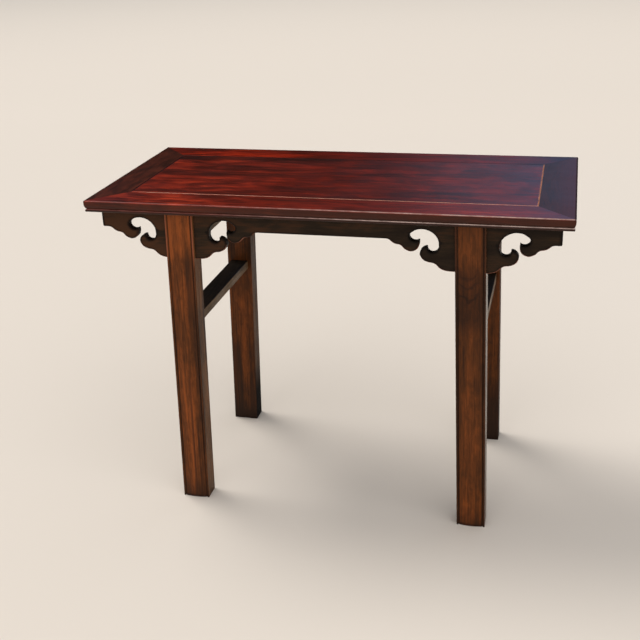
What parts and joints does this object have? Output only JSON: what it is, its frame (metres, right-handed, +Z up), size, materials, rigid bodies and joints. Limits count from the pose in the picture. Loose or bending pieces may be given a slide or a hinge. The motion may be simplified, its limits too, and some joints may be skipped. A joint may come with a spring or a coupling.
{
  "type": "altar table",
  "caption": "Recessed-leg altar table: mitred frame top with a floating panel, splayed legs slotted over aprons with pierced cloud spandrels, and side stretchers.",
  "frame": {"origin": "on the floor under the middle of the top", "axes": "+X along the top, +Y from the front to the back, +Z up"},
  "size_m": [1.14, 0.545, 0.818],
  "materials": {
    "top_frame_lacquer": "worn glossy red-brown lacquer, tan where the arrises are rubbed",
    "top_panel_lacquer": "worn glossy red-brown lacquer with fine craze lines",
    "leg_wood": "warm brown oiled wood with streaked upright grain",
    "apron_wood": "very dark brown satin lacquer, rubbed at the lower edges",
    "stretcher_wood": "dull grey-brown wood with a dark top",
    "underside_wood": "bare brown wood"
  },
  "bodies": {
    "root": {"front_rail": "top_frame_lacquer", "rear_rail": "top_frame_lacquer", "right_end_rail": "top_frame_lacquer", "left_end_rail": "top_frame_lacquer", "top_panel": "top_panel_lacquer", "batten_1": "underside_wood", "batten_2": "underside_wood", "batten_3": "underside_wood", "leg_front_right": "leg_wood", "leg_front_left": "leg_wood", "leg_rear_right": "leg_wood", "leg_rear_left": "leg_wood", "front_apron": "apron_wood", "rear_apron": "apron_wood", "right_end_apron": "apron_wood", "left_end_apron": "apron_wood", "spandrel_front_right": "apron_wood", "spandrel_front_left": "apron_wood", "spandrel_rear_right": "apron_wood", "spandrel_rear_left": "apron_wood", "upper_stretcher_right": "stretcher_wood", "upper_stretcher_left": "stretcher_wood", "lower_stretcher_right": "stretcher_wood", "lower_stretcher_left": "stretcher_wood"}
  },
  "joints": []
}
